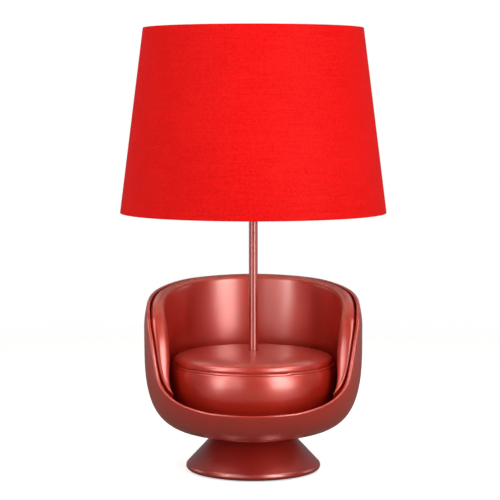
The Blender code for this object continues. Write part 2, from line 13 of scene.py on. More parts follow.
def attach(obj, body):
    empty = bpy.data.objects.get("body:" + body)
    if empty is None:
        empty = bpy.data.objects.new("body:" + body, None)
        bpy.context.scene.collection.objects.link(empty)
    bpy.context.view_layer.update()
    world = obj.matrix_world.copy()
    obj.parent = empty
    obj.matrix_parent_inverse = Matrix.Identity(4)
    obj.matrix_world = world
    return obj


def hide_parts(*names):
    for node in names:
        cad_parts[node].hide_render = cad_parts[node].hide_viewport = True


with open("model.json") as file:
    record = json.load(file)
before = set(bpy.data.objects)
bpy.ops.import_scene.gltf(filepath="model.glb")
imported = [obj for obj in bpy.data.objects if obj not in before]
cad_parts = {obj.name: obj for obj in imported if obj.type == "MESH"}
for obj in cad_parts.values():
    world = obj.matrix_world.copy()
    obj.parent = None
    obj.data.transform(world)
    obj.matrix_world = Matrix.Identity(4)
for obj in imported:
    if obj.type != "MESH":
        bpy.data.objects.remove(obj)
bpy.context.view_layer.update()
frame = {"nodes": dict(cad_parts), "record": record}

# ---- camera and stage ---------------------------------------------------------------------
CAMERA_PLACE = (-0.0037, -2.042, 0.4235)
CAMERA_PITCH = 4.85             # degrees below the horizon
CAMERA_LENS = 130.6
FLOOR_RADIUS = 1.6
FADE_START, FADE_END = 0.45, 1.5            # distances between which the floor fades out
LIGHT_AIM_Z = 0.22
LIGHT_COLOUR = (1.0, 0.95, 0.89)

# ---- pedestal and chair, as in the CAD ----------------------------------------------------
PEDESTAL_TOP_R, DECK_TOP_Z, DECK_THICKNESS = 0.0455, 0.0402, 0.0035
FLANK_SLOPE = (0.0762 - PEDESTAL_TOP_R) / (DECK_TOP_Z - 0.0072)     # to the foot's widest point
FLANK_LOW_Z, FLANK_HIGH_Z = 0.0100, 0.0395
GLAND_Z = 0.0120
STEM_R, STEM_BORE_R, STEM_BOTTOM_Z, STEM_TOP_Z = 0.0050, 0.0040, 0.0290, 0.3030
STEM_HOLE_R = 0.0053
SHELL_R, SHELL_WAIST_Z = 0.1236, 0.1648
BELLY_DEPTH, BELLY_POWER_Z, BELLY_POWER_R = 0.1225, 3.61, 4.79
TOP_TAPER, TOP_TAPER_HEIGHT = 0.0062, 0.0480
SHELL_WALL, SHELL_FLOOR_R, SHELL_BOTTOM_Z = 0.0040, 0.0450, 0.0424
RIM = (                         # degrees from the front, height of the rim
    (0, 0.0805), (22, 0.0817), (35, 0.0855), (42, 0.0885), (49.5, 0.0940), (54, 0.0992),
    (57.5, 0.1050), (60, 0.1120), (62, 0.1230), (64, 0.1360), (66.5, 0.1490), (70, 0.1625),
    (75, 0.1770), (82, 0.1860), (90, 0.1930), (110, 0.2020), (145, 0.2100), (180, 0.2120),
)
LINER_INNER_R, LINER_BOTTOM_Z, LINER_START = 0.1025, 0.0800, 53.5
LINER_ROLL, LINER_TAPER = 0.0075, 20        # depth of the pad's roll; sections that narrow at each end
ARM_SET_BACK, BACK_SET_BACK = 0.0024, 0.0002        # pad's crest below the rim
ARM_CLEARANCE, BACK_CLEARANCE = 0.0014, 0.0003      # dark gap between pad and shell
LIP_POWER, ROLL_POWER = 2.6, 2.8            # 2 is a round edge, more is squarer
ARM_END, BACK_START = 78, 108               # degrees between which arm measures change to back ones
PAD_LEAN, LEAN_START_Z, LEAN_HEIGHT = 0.0024, 0.1120, 0.0400    # pad's inner face leans in over this height
SHELL_UNEVEN, PAD_UNEVEN, CUSHION_UNEVEN, CROWN_UNEVEN = 0.00022, 0.0006, 0.00030, 0.00035
BOARD_TOP_Z = 0.0660
CUSHION_R, CUSHION_TOP_R, SHOULDER_Z, CUSHION_CROWN_Z = 0.0938, 0.0905, 0.1236, 0.1362
CROWN_POWER_R, CROWN_POWER_Z = 2.6, 3.5
PIPING_Z, PIPING_R, PIPING_THICKNESS, PIPING_JOINT = 0.1208, 0.0903, 0.0016, 25   # joint in degrees
SEAM_RING_R, SEAM_RING_Z, SEAM_RING_THICKNESS, SEAM_NOTCH = 0.0545, 0.0405, 0.0015, 19   # notch in degrees

# ---- holder and shade, as in the CAD ------------------------------------------------------
SWITCH_X, SWITCH_Z = 0.0159, 0.3095
HOLDER_PITCH, BULB_PITCH = 0.0025, 0.0036   # threads of the holder's skirt and of the bulb
FITTER_BORE_R, FITTER_R, FITTER_LEVEL_Z, FITTER_THICKNESS = 0.0200, 0.0265, 0.3224, 0.0012
SHADE_BOTTOM_R, SHADE_TOP_R, SHADE_BOTTOM_Z, SHADE_TOP_Z = 0.1500, 0.1235, 0.2927, 0.4996
CLOTH, CLOTH_TURN_IN = 0.0003, 0.0180       # thickness, and what goes round each hoop
WIRE_R, ARM_R, ARM_COUNT = 0.0015, 0.0014, 3
HOOP_INSET, HOOP_RISE = 0.0029, 0.0019      # hoop's middle inside and above the shade's edge
WARP_THREADS, WEFT_PITCH = 1180.0, 0.00062  # threads round the drum; height of one weft thread
SEAM_LAP = 4.5                  # degrees that the cloth laps over itself at the back
SEAM_LIFT = 0.00035
FOLD = 0.0006                   # radius of the crease at the cloth's edges


# ---- mesh helpers -------------------------------------------------------------------------
def add_piece(name, bm, mat, body, nodes=(), sharp_degrees=40):
    """Turn a bmesh into a shown piece that rides on a body and stands for CAD nodes."""
    bmesh.ops.recalc_face_normals(bm, faces=bm.faces)
    mesh = bpy.data.meshes.new(name)
    bm.to_mesh(mesh)
    bm.free()
    mesh.shade_smooth()
    mesh.set_sharp_from_angle(angle=math.radians(sharp_degrees))
    mesh.materials.append(mat)
    obj = bpy.data.objects.new(name, mesh)
    bpy.context.scene.collection.objects.link(obj)
    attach(obj, body)
    if nodes:
        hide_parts(*nodes)
    return obj


def skin(bm, rows, closed_rows, closed_columns=True):
    """Quads between neighbouring rows of vertices; a row of one vertex is a pole."""
    pairs = list(zip(rows, rows[1:]))
    if closed_rows:
        pairs.append((rows[-1], rows[0]))
    for low, high in pairs:
        count = max(len(low), len(high))
        for k in range(count if closed_columns else count - 1):
            n = (k + 1) % count
            corners = [low[k % len(low)], low[n % len(low)], high[n % len(high)], high[k % len(high)]]
            unique = list(dict.fromkeys(corners))
            if len(unique) > 2:
                bm.faces.new(unique)


def along_z(r, angle, t):
    return Vector((r * math.cos(angle), r * math.sin(angle), t))


def along_x(r, angle, t):
    return Vector((t, r * math.cos(angle), r * math.sin(angle)))


def along_y(r, angle, t):
    return Vector((r * math.sin(angle), t, r * math.cos(angle)))


def turned(profile, segments, place=along_z, centre=(0, 0, 0), shape=None):
    """A bmesh turned from (radius, position) points, closed where it leaves the axis.

    shape(angle, r, t), where given, changes the radius and position of each point.
    """
    bm = bmesh.new()
    centre = Vector(centre)
    rows = []
    for r, t in profile:
        if r == 0:
            rows.append([bm.verts.new(centre + place(0, 0, t))])
            continue
        row = []
        for k in range(segments):
            angle = 2 * math.pi * k / segments
            near, far = shape(angle, r, t) if shape else (r, t)
            row.append(bm.verts.new(centre + place(near, angle, far)))
        rows.append(row)
    skin(bm, rows, closed_rows=profile[0][0] != 0)
    return bm


def arc(centre_r, centre_z, radius, start_degrees, end_degrees, steps):
    """Points on a circular arc in the (radius, height) plane."""
    points = []
    for k in range(steps + 1):
        angle = math.radians(start_degrees + (end_degrees - start_degrees) * k / steps)
        points.append((centre_r + radius * math.cos(angle), centre_z + radius * math.sin(angle)))
    return points


def softened(points, radius, steps=4, closed=True):
    """The same outline with each corner rounded by a short curve."""
    result = []
    count = len(points)
    for i, corner in enumerate(points):
        if (not closed and i in (0, count - 1)) or corner[0] == 0:
            result.append(corner)
            continue
        here = Vector(corner)
        before, after = Vector(points[i - 1]) - here, Vector(points[(i + 1) % count]) - here
        a = here + before.normalized() * min(radius, before.length * 0.45)
        b = here + after.normalized() * min(radius, after.length * 0.45)
        for k in range(steps + 1):
            t = k / steps
            result.append(tuple(a * (1 - t) ** 2 + here * 2 * t * (1 - t) + b * t**2))
    return result


def curve_through(points, steps):
    """A Catmull-Rom curve through points of any dimension, so many steps a stretch."""
    points = [Vector(p) for p in points]
    route = []
    for i in range(len(points) - 1):
        before, a = points[max(i - 1, 0)], points[i]
        b, after = points[i + 1], points[min(i + 2, len(points) - 1)]
        for k in range(steps):
            t = k / steps
            route.append(a * (2 * t**3 - 3 * t**2 + 1) + (b - before) * 0.5 * (t**3 - 2 * t**2 + t)
                         + b * (-2 * t**3 + 3 * t**2) + (after - a) * 0.5 * (t**3 - t**2))
    route.append(points[-1])
    return route


def split_long(points, longest):
    """Extra points on the stretches of an outline that are longer than longest."""
    result = []
    for a, b in zip(points, points[1:] + points[:1]):
        parts = max(1, math.ceil(math.dist(a, b) / longest))
        for k in range(parts):
            t = k / parts
            result.append((a[0] + (b[0] - a[0]) * t, a[1] + (b[1] - a[1]) * t))
    return result


def rod(route, radius, segments, swell=None):
    """A closed round rod along a route; swell(share) scales its radius along the way."""
    bm = bmesh.new()
    route = [Vector(p) for p in route]
    side = Vector((0, 0, 1))
    rows = []
    for i, p in enumerate(route):
        forward = (route[min(i + 1, len(route) - 1)] - route[max(i - 1, 0)]).normalized()
        across = forward.cross(side).normalized()
        up = across.cross(forward)
        r = radius * (swell(i / (len(route) - 1)) if swell else 1.0)
        row = []
        for k in range(segments):
            angle = 2 * math.pi * k / segments
            row.append(bm.verts.new(p + across * r * math.cos(angle) + up * r * math.sin(angle)))
        rows.append(row)
    skin(bm, [[bm.verts.new(route[0])]] + rows + [[bm.verts.new(route[-1])]], closed_rows=False)
    return bm


def hammer(bm, depth, wavelength):
    """Shallow unevenness of a hand-finished casting, moved out from the axis."""
    for v in bm.verts:
        flat = Vector((v.co.x, v.co.y, 0))
        if flat.length > 0.02:
            v.co += flat.normalized() * depth * noise.noise(v.co / wavelength)


def smoothstep(t):
    t = min(max(t, 0.0), 1.0)
    return t * t * (3 - 2 * t)


def squarish(angle, power):
    """A point on a superellipse: its place across, -1 to 1, and its height, 0 to 1."""
    across, up = math.cos(angle), math.sin(angle)
    return math.copysign(abs(across) ** (2 / power), across), abs(up) ** (2 / power)


# ---- material helpers ---------------------------------------------------------------------
def new_material(name, color, roughness, **sockets):
    """A Principled material; color is linear, and other sockets are given by name."""
    mat = bpy.data.materials.new(name)
    mat.use_nodes = True
    tree = mat.node_tree
    shader = tree.nodes["Principled BSDF"]
    shader.inputs["Base Color"].default_value = (*color, 1.0)
    shader.inputs["Roughness"].default_value = roughness
    for key, value in sockets.items():
        socket = shader.inputs[key.replace("_", " ").title().replace("Ior", "IOR")]
        socket.default_value = (*value, 1.0) if isinstance(value, tuple) else value
    mat.diffuse_color = (*color, 1.0)
    return mat, tree, shader


def add_node(tree, kind, inputs=(), **settings):
    """A node with its settings, and inputs that are values or other nodes' outputs."""
    node = tree.nodes.new("ShaderNode" + kind)
    for key, value in settings.items():
        setattr(node, key, value)
    for key, value in dict(inputs).items():
        if isinstance(value, bpy.types.NodeSocket):
            tree.links.new(value, node.inputs[key])
        else:
            node.inputs[key].default_value = value
    return node


def calc(tree, operation, *values):
    return add_node(tree, "Math", dict(enumerate(values)), operation=operation).outputs[0]


def grain(tree, scale, stretch=(1.0, 1.0, 1.0), detail=2.0):
    """Noise fixed to the object, scale cycles to a metre, times stretch along each axis."""
    place = add_node(tree, "TexCoord").outputs["Object"]
    mapped = add_node(tree, "Mapping", {"Vector": place, "Scale": stretch}).outputs[0]
    return add_node(tree, "TexNoise", {"Vector": mapped, "Scale": scale, "Detail": detail}).outputs[0]


def spread(tree, value, low, high, start=0.3, end=0.7):
    """Noise between start and end, mapped to low and high."""
    return add_node(tree, "MapRange", {0: value, 1: start, 2: end, 3: low, 4: high}).outputs[0]


def tint(tree, share, first, second):
    """A colour between two others."""
    mixed = add_node(tree, "Mix", {0: share, 6: (*first, 1.0), 7: (*second, 1.0)}, data_type="RGBA")
    return mixed.outputs[2]


def relief(tree, height, depth, under=None):
    """A bump of a real depth, laid over another one."""
    inputs = {"Strength": 1.0, "Distance": depth, "Height": height}
    if under is not None:
        inputs["Normal"] = under
    return add_node(tree, "Bump", inputs).outputs[0]


def shade_of(color, factor):
    return tuple(min(c * factor, 1.0) for c in color)


def worn_surface(name, color, roughness, scale, depth, contrast=0.15, stretch=(1.0, 1.0, 1.0), **sockets):
    """A material whose colour, gloss and relief vary at a grain of its own."""
    mat, tree, shader = new_material(name, color, roughness, **sockets)
    clouds = grain(tree, scale * 0.12, detail=3.0)
    fine = grain(tree, scale, stretch)
    colour = tint(tree, spread(tree, clouds, 0.0, 1.0), shade_of(color, 1 - contrast),
                  shade_of(color, 1 + contrast))
    tree.links.new(colour, shader.inputs["Base Color"])
    gloss = calc(tree, "ADD", spread(tree, clouds, -0.05, 0.05),
                 spread(tree, fine, roughness - 0.04, roughness + 0.04))
    tree.links.new(gloss, shader.inputs["Roughness"])
    tree.links.new(relief(tree, fine, depth), shader.inputs["Normal"])
    return mat


def make_paint(name, color, dark, brush_depth):
    """Metallic lacquer on a casting: flakes under a soft clear coat, faint brush marks, uneven film."""
    mat, tree, shader = new_material(name, color, 0.46, metallic=0.50, coat_weight=1.0, coat_roughness=0.28,
                                     coat_ior=1.9)
    clouds = grain(tree, 16.0, detail=3.0)
    streaks = grain(tree, 1.0, (14.0, 14.0, 620.0), detail=3.0)
    flakes = grain(tree, 4200.0, detail=0.0)
    peel = grain(tree, 330.0, detail=1.0)
    share = calc(tree, "ADD", spread(tree, clouds, 0.0, 0.7), spread(tree, streaks, 0.0, 0.3))
    tree.links.new(tint(tree, share, dark, color), shader.inputs["Base Color"])
    gloss = calc(tree, "ADD", spread(tree, streaks, 0.42, 0.50), spread(tree, clouds, 0.03, -0.03))
    tree.links.new(gloss, shader.inputs["Roughness"])
    normal = relief(tree, peel, 0.00003)
    normal = relief(tree, streaks, brush_depth, normal)
    tree.links.new(relief(tree, flakes, 0.00001, normal), shader.inputs["Normal"])
    tree.links.new(normal, shader.inputs["Coat Normal"])
    return mat


def make_cloth():
    """Satin shade cloth: a plain weave of fine warp and slubby weft round the drum."""
    deep, bright = (0.48, 0.0001, 0.0008), (0.72, 0.0100, 0.0090)
    mat, tree, shader = new_material("shade_cloth", bright, 0.47, specular_ior_level=0.04)
    place = add_node(tree, "SeparateXYZ", {0: add_node(tree, "TexCoord").outputs["Object"]})
    angle = calc(tree, "ARCTAN2", place.outputs[0], place.outputs[1])
    warp = calc(tree, "SINE", calc(tree, "MULTIPLY", angle, WARP_THREADS))
    weft = calc(tree, "SINE", calc(tree, "MULTIPLY", place.outputs[2], 2 * math.pi / WEFT_PITCH))
    weave = calc(tree, "MULTIPLY", warp, weft)
    slubs = grain(tree, 1.0, (26.0, 26.0, 1300.0), detail=3.0)
    nap = grain(tree, 420.0, detail=3.0)
    clouds = grain(tree, 9.0, detail=2.0)
    share = calc(tree, "ADD", spread(tree, slubs, 0.0, 0.35),
                 calc(tree, "ADD", spread(tree, nap, 0.0, 0.45), spread(tree, clouds, 0.0, 0.2)))
    tree.links.new(tint(tree, share, deep, bright), shader.inputs["Base Color"])
    tree.links.new(spread(tree, slubs, 0.42, 0.52), shader.inputs["Roughness"])
    normal = relief(tree, weave, 0.00004)
    normal = relief(tree, slubs, 0.00010, normal)
    normal = relief(tree, nap, 0.00006, normal)
    tree.links.new(normal, shader.inputs["Normal"])
    return mat


def make_materials():
    """Every finish, by the record's slot name."""
    return {
        "chair_paint": make_paint("chair_lacquer", (0.51, 0.018, 0.002), (0.42, 0.010, 0.001), 0.00002),
        # pedestal and stem take the chair's red lacquer made darker: painted shade for the pedestal under the
        # chair, carried onto the stem too
        "metal_paint": make_paint("metal_lacquer_darkened_for_shade", (0.38, 0.009, 0.001), (0.30, 0.004, 0.0005), 0.000004),
        "shade_fabric": make_cloth(),
        "felt": worn_surface("pressed_felt", (0.018, 0.018, 0.020), 0.95, 1800.0, 0.00025, 0.35,
                             sheen_weight=0.4, sheen_roughness=0.6),
        "zinc_steel": worn_surface("zinc_plate", (0.56, 0.57, 0.60), 0.34, 320.0, 0.00003, 0.10, metallic=1.0),
        "iron": worn_surface("cast_iron", (0.075, 0.075, 0.078), 0.68, 700.0, 0.00020, 0.25, metallic=0.6),
        "rubber": worn_surface("soft_rubber", (0.030, 0.020, 0.020), 0.62, 1500.0, 0.00004, 0.20),
        "white_plastic": worn_surface("white_nylon", (0.76, 0.75, 0.71), 0.42, 900.0, 0.00003, 0.05),
        "black_plastic": worn_surface("black_moulding", (0.016, 0.016, 0.017), 0.38, 2200.0, 0.00003, 0.25),
        "brown_insulation": worn_surface("brown_sleeve", (0.13, 0.045, 0.018), 0.45, 1200.0, 0.00002, 0.12),
        "blue_insulation": worn_surface("blue_sleeve", (0.020, 0.085, 0.36), 0.45, 1200.0, 0.00002, 0.12),
        # seat board at the bottom of the moat: the chair's red made much darker, painted shade of the recess
        "board": worn_surface("painted_board", (0.20, 0.030, 0.022), 0.55, 600.0, 0.00008, 0.25, metallic=0.4),
        "porcelain": worn_surface("porcelain", (0.82, 0.81, 0.78), 0.18, 200.0, 0.00002, 0.04, coat_weight=0.4,
                                  coat_roughness=0.08),
        "brass": worn_surface("stamped_brass", (0.72, 0.48, 0.17), 0.28, 500.0, 0.00002, 0.12, metallic=1.0),
        "bulb_metal": worn_surface("nickelled_cap", (0.70, 0.70, 0.71), 0.26, 500.0, 0.00002, 0.08, metallic=1.0),
        "opal_glass": worn_surface("opal_glass", (0.90, 0.89, 0.86), 0.16, 60.0, 0.00002, 0.03,
                                   transmission_weight=0.15, coat_weight=0.3, coat_roughness=0.05),
        "white_wire": worn_surface("powder_coat", (0.76, 0.76, 0.75), 0.38, 1400.0, 0.00005, 0.06,
                                   coat_weight=0.15),
        "lining": worn_surface("styrene_lining", (0.80, 0.77, 0.72), 0.42, 420.0, 0.00004, 0.05),
    }


# ---- camera, light and stage --------------------------------------------------------------
def link(obj):
    bpy.context.scene.collection.objects.link(obj)
    return obj


def make_camera():
    data = bpy.data.cameras.new("camera")
    data.lens = CAMERA_LENS
    data.sensor_width = 36.0
    data.clip_start, data.clip_end = 0.05, 60.0
    camera = link(bpy.data.objects.new("camera", data))
    camera.location = CAMERA_PLACE
    camera.rotation_euler = (math.radians(90 - CAMERA_PITCH), 0, 0)
    bpy.context.scene.camera = camera


def softbox(name, azimuth, elevation, distance, width, height, watts):
    """A soft light that faces the lamp's middle; azimuth 0 is the camera's side."""
    data = bpy.data.lights.new(name, "AREA")
    data.shape = "RECTANGLE"
    data.size, data.size_y = width, height
    data.energy, data.color = watts, LIGHT_COLOUR
    light = link(bpy.data.objects.new(name, data))
    turn, rise = math.radians(azimuth), math.radians(elevation)
    light.location = (distance * math.cos(rise) * math.sin(turn), -distance * math.cos(rise) * math.cos(turn),
                      LIGHT_AIM_Z + distance * math.sin(rise))
    light.rotation_euler = (math.radians(90 - elevation), 0, turn)
    light.visible_camera = False


def make_room():
    """White surroundings behind the lamp, and a pale floor that fades into them.

    Reflections see both dimmer than the camera does, and from below the floor is clear.
    """
    world = bpy.data.worlds.new("studio")
    bpy.context.scene.world = world
    world.use_nodes = True
    tree = world.node_tree
    tree.nodes.clear()
    direction = add_node(tree, "SeparateXYZ", {0: add_node(tree, "TexCoord").outputs["Generated"]})
    rear = add_node(tree, "MapRange", {0: direction.outputs[1], 1: -0.3, 2: 0.8, 3: 0.0, 4: 1.0}).outputs[0]
    colour = tint(tree, rear, (0.04, 0.04, 0.04), (0.20, 0.20, 0.20))
    seen = add_node(tree, "LightPath").outputs["Is Camera Ray"]
    shown = add_node(tree, "Mix", {0: seen, 6: colour, 7: (1.0, 1.0, 1.0, 1.0)}, data_type="RGBA").outputs[2]
    background = add_node(tree, "Background", {"Color": shown, "Strength": 1.0})
    output = add_node(tree, "OutputWorld")
    tree.links.new(background.outputs[0], output.inputs[0])

    bm = bmesh.new()
    rings = [[bm.verts.new((0, 0, 0))]]
    for k in range(1, 9):
        r = FLOOR_RADIUS * k / 8
        rings.append([bm.verts.new(along_z(r, 2 * math.pi * n / 64, 0)) for n in range(64)])
    skin(bm, rings, closed_rows=False)
    bmesh.ops.reverse_faces(bm, faces=bm.faces)
    mesh = bpy.data.meshes.new("floor")
    bm.to_mesh(mesh)
    bm.free()
    mat, tree, shader = new_material("pale_floor", (0.86, 0.86, 0.86), 0.7, emission_color=(1.0, 1.0, 1.0),
                                     emission_strength=0.58)
    dim = add_node(tree, "BsdfDiffuse", {"Color": (0.26, 0.20, 0.19, 1.0)}).outputs[0]
    seen = add_node(tree, "LightPath").outputs["Is Camera Ray"]
    lit = add_node(tree, "MixShader", {0: seen, 1: dim, 2: shader.outputs[0]}).outputs[0]
    speckle = grain(tree, 140.0, detail=3.0)
    tree.links.new(tint(tree, spread(tree, speckle, 0.0, 1.0), (0.85, 0.85, 0.85), (0.88, 0.88, 0.88)),
                   shader.inputs["Base Color"])
    place = add_node(tree, "TexCoord").outputs["Object"]
    reach = add_node(tree, "VectorMath", {0: place}, operation="LENGTH").outputs["Value"]
    fade = add_node(tree, "MapRange", {0: reach, 1: FADE_START, 2: FADE_END, 3: 0.0, 4: 1.0},
                    interpolation_type="SMOOTHSTEP").outputs[0]
    below = add_node(tree, "NewGeometry").outputs["Backfacing"]
    clear = add_node(tree, "BsdfTransparent").outputs[0]
    mixed = add_node(tree, "MixShader", {0: calc(tree, "MAXIMUM", fade, below), 1: lit, 2: clear}).outputs[0]
    tree.links.new(mixed, tree.nodes["Material Output"].inputs["Surface"])
    mesh.materials.append(mat)
    floor = link(bpy.data.objects.new("floor", mesh))
    floor.location = (0, 0, -0.0002)


def glow(name, place, radius, watts, colour):
    """A small round light."""
    data = bpy.data.lights.new(name, "POINT")
    data.shadow_soft_size, data.energy, data.color = radius, watts, colour
    link(bpy.data.objects.new(name, data)).location = place


def make_lights():
    softbox("key_right", 38, 0, 1.30, 0.62, 1.80, 23.5)
    softbox("strip_left", -48, 0, 1.30, 0.26, 1.80, 8.0)
    softbox("wide_left", -31, 0, 1.70, 1.10, 1.80, 10.5)
    softbox("upper_right", 58, 50, 1.50, 1.10, 0.80, 9.5)
    softbox("upper_left", -60, 50, 1.50, 1.10, 0.80, 9.5)
    softbox("side_right", 104, -10, 1.40, 0.50, 1.00, 3.2)
    softbox("side_left", -105, -10, 1.40, 0.50, 1.00, 3.0)
    softbox("rear_right", 146, 40, 1.60, 1.00, 0.70, 1.8)
    softbox("rear_left", -146, 40, 1.60, 1.00, 0.70, 1.8)
    glow("daylight_in_shade", (0, 0, 0.4600), 0.020, 0.40, (1.0, 0.64, 0.42))


# ---- base ---------------------------------------------------------------------------------
def flank_radius(z):
    return PEDESTAL_TOP_R + FLANK_SLOPE * (DECK_TOP_Z - z)


def apply_boolean(obj, tool_mesh, operation):
    """Cut or join a tool with a piece, and bake the result into the piece."""
    mesh = bpy.data.meshes.new("tool")
    bmesh.ops.recalc_face_normals(tool_mesh, faces=tool_mesh.faces)
    tool_mesh.to_mesh(mesh)
    tool_mesh.free()
    mesh.shade_smooth()
    tool = link(bpy.data.objects.new("tool", mesh))
    modifier = obj.modifiers.new("cut", "BOOLEAN")
    modifier.operation, modifier.solver, modifier.object = operation, "EXACT", tool
    bpy.context.view_layer.update()
    done = bpy.data.meshes.new_from_object(obj.evaluated_get(bpy.context.evaluated_depsgraph_get()))
    obj.modifiers.clear()
    obj.data = done
    bpy.data.objects.remove(tool)


def make_base(mats):
    foot = curve_through([(0.0702, 0.0012), (0.0722, 0.0010), (0.0747, 0.0018), (0.0760, 0.0034),
                          (0.0764, 0.0050), (0.0757, 0.0076), (flank_radius(FLANK_LOW_Z), FLANK_LOW_Z)], 5)
    heights = [FLANK_LOW_Z + (FLANK_HIGH_Z - FLANK_LOW_Z) * k / 24 for k in range(1, 24)]
    flank = [(flank_radius(z), z) for z in heights]
    shoulder = arc(PEDESTAL_TOP_R - 0.0006, DECK_TOP_Z - 0.0010, 0.0010, 35, 90, 4)
    under = DECK_TOP_Z - DECK_THICKNESS
    hollow = softened([(0.0400, DECK_TOP_Z), (STEM_HOLE_R, DECK_TOP_Z), (STEM_HOLE_R, under), (0.0410, under),
                       (0.0430, 0.0354), (0.0645, 0.0085), (0.0655, 0.0041), (0.0700, 0.0041),
                       (0.0700, 0.0020)], 0.0008, 3, closed=False)
    outline = [tuple(p) for p in foot] + flank + shoulder + hollow
    pedestal = add_piece("pedestal_cone", turned(outline, 192), mats["metal_paint"], "lamp",
                         ["pedestal"])
    spigot = softened([(0, 0.0620), (0.0070, 0.0620), (0.0070, 0.0765), (0, 0.0765)], 0.0007, 3)
    apply_boolean(pedestal, turned(spigot, 64, along_y, (0, 0, GLAND_Z)), "UNION")
    bore = [(0, 0.0500), (0.0048, 0.0500), (0.0048, 0.0800), (0, 0.0800)]
    apply_boolean(pedestal, turned(bore, 64, along_y, (0, 0, GLAND_Z)), "DIFFERENCE")
    pedestal.data.set_sharp_from_angle(angle=math.radians(40))

    grommet = softened([(0.0033, 0.0528), (0.0050, 0.0528), (0.0056, 0.0557), (0.0045, 0.0557),
                        (0.0045, 0.0768), (0.0068, 0.0768), (0.0068, 0.0781), (0.0060, 0.0789),
                        (0.0040, 0.0789), (0.0033, 0.0781)], 0.0005, 4)

    def ribbed(angle, r, t):
        grip = 0.00012 * math.cos(20 * angle) if r > 0.0062 and 0.0769 < t < 0.0784 else 0.0
        return r + grip, t

    add_piece("grommet", turned(split_long(grommet, 0.0012), 120, along_y, (0, 0, GLAND_Z), ribbed),
              mats["rubber"], "lamp", ["cord_gland"])

    disc = [(0, 0), (0.0683, 0)] + arc(0.0683, 0.00075, 0.00075, -90, 90, 6)[1:] + [(0, 0.0015)]
    felt = turned(split_long(disc, 0.0030)[:-1], 160)
    for v in felt.verts:
        if 0.0002 < v.co.z < 0.0013:
            v.co += Vector((v.co.x, v.co.y, 0)).normalized() * 0.0003 * noise.noise(v.co / 0.004)
    add_piece("felt_disc", felt, mats["felt"], "lamp", ["felt_pad"])

    def lip(angle, r, t):
        away = abs((angle + math.pi / 2 - math.radians(SEAM_NOTCH) + math.pi) % (2 * math.pi) - math.pi)
        notch = 0.0011 * math.exp(-((away / 0.018) ** 2))
        wobble = 0.00022 * noise.noise(Vector((math.cos(angle), math.sin(angle), 0)) * 6)
        return (r + wobble - notch if r > 0.045 else r), t

    low = SEAM_RING_Z
    section = softened([(STEM_HOLE_R, low), (SEAM_RING_R, low), (SEAM_RING_R, low + SEAM_RING_THICKNESS),
                        (STEM_HOLE_R, low + SEAM_RING_THICKNESS)], 0.0007, 5)
    add_piece("seam_lip", turned(section, 360, shape=lip), mats["chair_paint"], "lamp",
              ["seam_ring"])


# ---- chair --------------------------------------------------------------------------------
def shell_radius(z):
    if z >= SHELL_WAIST_Z:
        return SHELL_R - TOP_TAPER * smoothstep((z - SHELL_WAIST_Z) / TOP_TAPER_HEIGHT)
    depth = min((SHELL_WAIST_Z - z) / BELLY_DEPTH, 1.0)
    return SHELL_R * (1 - depth**BELLY_POWER_Z) ** (1 / BELLY_POWER_R)


def shell_slope(z):
    step = 0.0002
    return (shell_radius(z + step) - shell_radius(z - step)) / (2 * step)


def shell_inner_radius(z):
    return shell_radius(z) - SHELL_WALL * math.hypot(1, shell_slope(z))


def rim_height(degrees):
    """Height of the shell's rim: a smooth curve through RIM that never overshoots."""
    degrees = abs((degrees + 180) % 360 - 180)
    i = max(k for k in range(len(RIM) - 1) if RIM[k][0] <= degrees or k == 0)

    def grade(k):
        if k < 0 or k >= len(RIM) - 1:
            return 0.0
        return (RIM[k + 1][1] - RIM[k][1]) / (RIM[k + 1][0] - RIM[k][0])

    def tangent(k):
        left, right = grade(k - 1), grade(k)
        return 2 * left * right / (left + right) if left * right > 0 else 0.0

    (a, low), (b, high) = RIM[i], RIM[i + 1]
    width = b - a
    t = (degrees - a) / width
    return ((2 * t**3 - 3 * t**2 + 1) * low + (t**3 - 2 * t**2 + t) * width * tangent(i)
            + (3 * t**2 - 2 * t**3) * high + (t**3 - t**2) * width * tangent(i + 1))


def rim_steepness(degrees):
    """Length of a rim step over its run, 1 where the rim is level."""
    step = 0.25
    rise = rim_height(degrees + step) - rim_height(degrees - step)
    return math.hypot(1, rise / (SHELL_R * math.radians(2 * step)))


def even_rim_angles(count, start=0.0):
    """Angles from start to 180 degrees whose points are evenly spaced along the rim."""
    fine = [start + (180 - start) * k / 2400 for k in range(2401)]
    reach = [0.0]
    for a, b in zip(fine, fine[1:]):
        run = SHELL_R * math.radians(b - a)
        reach.append(reach[-1] + math.hypot(run, rim_height(b) - rim_height(a)))
    angles, k = [], 0
    for i in range(count + 1):
        target = reach[-1] * i / count
        while k < len(reach) - 2 and reach[k + 1] < target:
            k += 1
        share = (target - reach[k]) / (reach[k + 1] - reach[k])
        angles.append(fine[k] + share * (fine[k + 1] - fine[k]))
    return angles


def chair_point(degrees, r, z):
    angle = math.radians(degrees)
    return Vector((r * math.sin(angle), -r * math.cos(angle), z))


